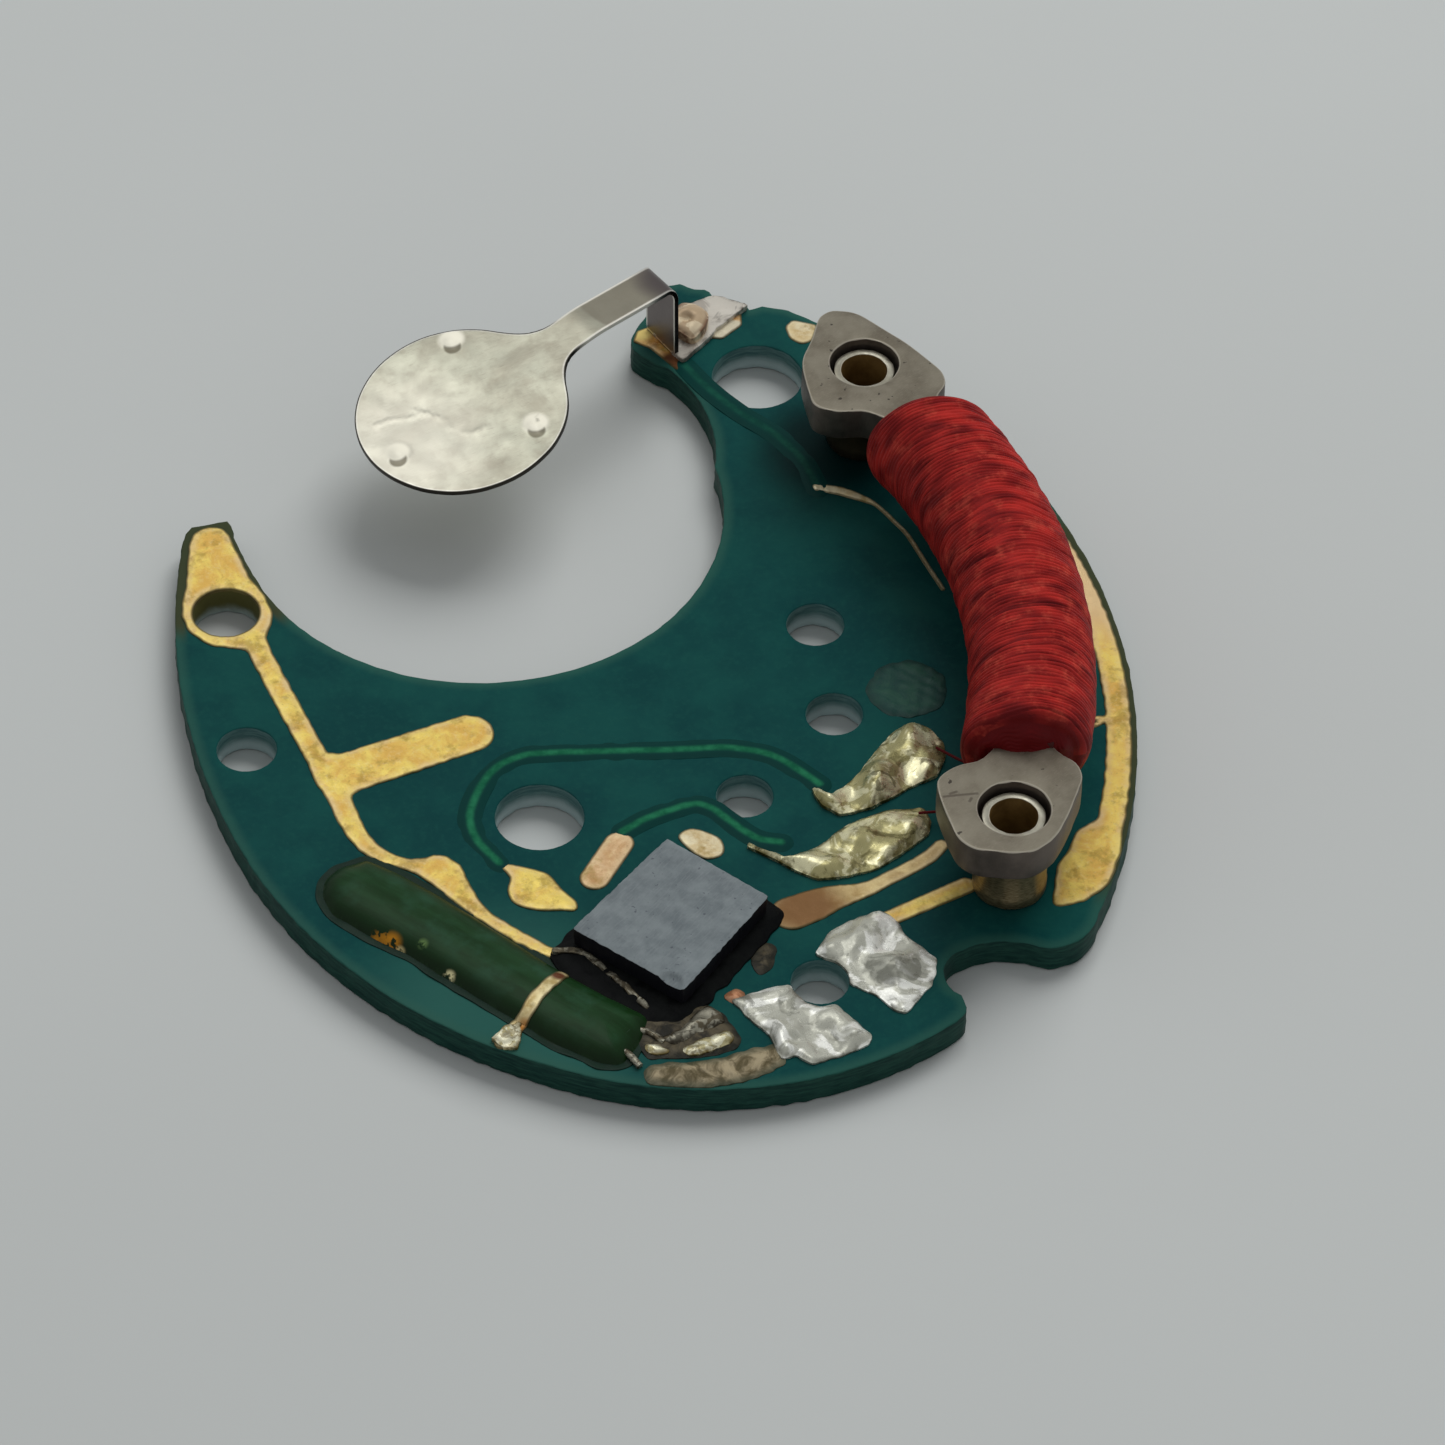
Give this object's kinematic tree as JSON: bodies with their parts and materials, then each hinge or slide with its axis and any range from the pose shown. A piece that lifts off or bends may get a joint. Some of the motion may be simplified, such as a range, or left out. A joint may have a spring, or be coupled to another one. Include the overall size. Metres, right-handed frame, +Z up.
{
  "type": "quartz watch electronic module",
  "caption": "Crescent watch circuit board with a curved stepping-motor coil on screw tubes, bare timing chip, quartz crystal and a sprung round cell contact.",
  "frame": {"origin": "lower screw tube's axis at the board's underside", "axes": "+Z up through the component side along the tube's axis, +Y from the lower screw tube to the upper one, +X towards the coil's rim"},
  "size_m": [0.0187, 0.0223, 0.0037],
  "materials": {
    "board": "green-lacquered glass-epoxy laminate, satin",
    "gold": "gold plating, slightly matte and mottled",
    "covered_trace": "copper under green lacquer",
    "chip": "back-lapped silicon, matte grey",
    "resin": "black potting resin",
    "crystal_can": "metal can under dark green lacquer",
    "glass": "sealing glass",
    "lead_wire": "tinned wire",
    "quartz": "clear quartz",
    "core_alloy": "soft magnetic alloy, sawn grey-brown",
    "sleeve": "thin insulating sleeve",
    "winding": "red enamelled copper wire, glossy",
    "tube": "nickel-plated turned brass",
    "solder": "reflowed solder, bright with olive flux shade",
    "spring": "nickel-plated spring strip, satin"
  },
  "bodies": {
    "module": {"can_strap": "gold", "capsule_track": "gold", "cell_contact_track": "gold", "chip": "chip", "chip_corner_pad": "gold", "chip_resin": "resin", "chip_side_track": "gold", "circuit_board": "board", "coil_bed_track": "gold", "coil_core": "core_alloy", "coil_solder_inner": "solder", "coil_solder_outer": "solder", "coil_winding": "winding", "coil_wire_ends": "winding", "contact_foot": "spring", "contact_lump": "solder", "core_sleeve": "sleeve", "covered_traces": "covered_trace", "crystal_base": "glass", "crystal_can": "crystal_can", "crystal_leads": "lead_wire", "crystal_solder": "solder", "lower_tube": "tube", "oscillator_track": "gold", "probe_solder": "solder", "rim_track": "gold", "spring_pad": "gold", "strap_pad": "gold", "strap_solder": "solder", "stub_track": "gold", "supply_solder": "solder", "tuning_fork": "quartz", "upper_pad": "gold", "upper_tube": "tube"},
    "contact": {"contact_spring": "spring"}
  },
  "joints": [
    {"name": "contact_flex", "type": "hinge", "parent": "module", "child": "contact", "pos_m": [-0.00351, 0.01639, 0.00229], "axis": [0.4867, -0.8736, 0], "range_deg": [0, 11], "stiffness_Nm_per_rad": 0.00003}
  ]
}
